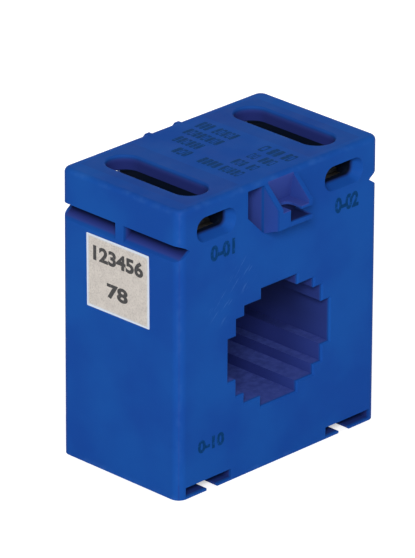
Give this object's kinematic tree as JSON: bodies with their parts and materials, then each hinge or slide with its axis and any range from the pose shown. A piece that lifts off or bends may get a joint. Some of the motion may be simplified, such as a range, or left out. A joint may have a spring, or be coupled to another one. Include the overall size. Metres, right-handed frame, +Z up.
{
  "type": "window-type current transformer",
  "caption": "Moulded-case current transformer with a stepped window for a busbar or cable, screw-clamp terminals at the top and slots for feet.",
  "frame": {"origin": "middle of the bottom face", "axes": "+Z up, -Y out of the front face, +X to the right as seen from the front; the window runs along Y"},
  "size_m": [0.0601, 0.0442, 0.066],
  "materials": {
    "case_plastic": "satin moulded blue plastic, fine grain",
    "label_foil": "matt silver-grey film with dark print",
    "terminal_metal": "nickel plated, satin",
    "clamp_steel": "zinc plated",
    "core_steel": "wound strip, blue-grey",
    "end_ring_board": "natural insulating board",
    "winding_wire": "enamelled copper wire",
    "wrap_film": "clear yellow film tape",
    "foam": "soft closed-cell foam",
    "lead_sleeve": "soft insulation"
  },
  "bodies": {
    "housing": {"case_body": "case_plastic", "back_cover": "case_plastic", "test_label": "label_foil", "core": "core_steel", "core_end_ring_front": "end_ring_board", "core_end_ring_back": "end_ring_board", "secondary_winding": "winding_wire", "winding_wrap": "wrap_film", "foam_ring_front": "foam", "foam_ring_back": "foam", "terminal_bar_s1": "terminal_metal", "lead_s1": "lead_sleeve", "terminal_bar_s2": "terminal_metal", "lead_s2": "lead_sleeve"},
    "plate_s1_front": {"clamp_plate_s1_front": "clamp_steel"},
    "screw_s1_front": {"clamp_screw_s1_front": "clamp_steel"},
    "plate_s1_back": {"clamp_plate_s1_back": "clamp_steel"},
    "screw_s1_back": {"clamp_screw_s1_back": "clamp_steel"},
    "plate_s2_front": {"clamp_plate_s2_front": "clamp_steel"},
    "screw_s2_front": {"clamp_screw_s2_front": "clamp_steel"},
    "plate_s2_back": {"clamp_plate_s2_back": "clamp_steel"},
    "screw_s2_back": {"clamp_screw_s2_back": "clamp_steel"}
  },
  "joints": [
    {"name": "lift_s1_front", "type": "slide", "parent": "housing", "child": "plate_s1_front", "axis": [0, 0, 1], "range_m": [0, 0.0028]},
    {"name": "turn_s1_front", "type": "hinge", "parent": "plate_s1_front", "child": "screw_s1_front", "pos_m": [-0.0191, -0.0075, 0.0581], "axis": [0, 0, 1], "range_deg": [0, 1440]},
    {"name": "lift_s1_back", "type": "slide", "parent": "housing", "child": "plate_s1_back", "axis": [0, 0, 1], "range_m": [0, 0.0028]},
    {"name": "turn_s1_back", "type": "hinge", "parent": "plate_s1_back", "child": "screw_s1_back", "pos_m": [-0.0191, 0.0075, 0.0581], "axis": [0, 0, 1], "range_deg": [0, 1440]},
    {"name": "lift_s2_front", "type": "slide", "parent": "housing", "child": "plate_s2_front", "axis": [0, 0, 1], "range_m": [0, 0.0028]},
    {"name": "turn_s2_front", "type": "hinge", "parent": "plate_s2_front", "child": "screw_s2_front", "pos_m": [0.0191, -0.0075, 0.0581], "axis": [0, 0, 1], "range_deg": [0, 1440]},
    {"name": "lift_s2_back", "type": "slide", "parent": "housing", "child": "plate_s2_back", "axis": [0, 0, 1], "range_m": [0, 0.0028]},
    {"name": "turn_s2_back", "type": "hinge", "parent": "plate_s2_back", "child": "screw_s2_back", "pos_m": [0.0191, 0.0075, 0.0581], "axis": [0, 0, 1], "range_deg": [0, 1440]}
  ],
  "couplings": [
    {"joint": "turn_s1_front", "follows": "lift_s1_front", "rad_per_m": 8975.9},
    {"joint": "turn_s1_back", "follows": "lift_s1_back", "rad_per_m": 8975.9},
    {"joint": "turn_s2_front", "follows": "lift_s2_front", "rad_per_m": 8975.9},
    {"joint": "turn_s2_back", "follows": "lift_s2_back", "rad_per_m": 8975.9}
  ]
}
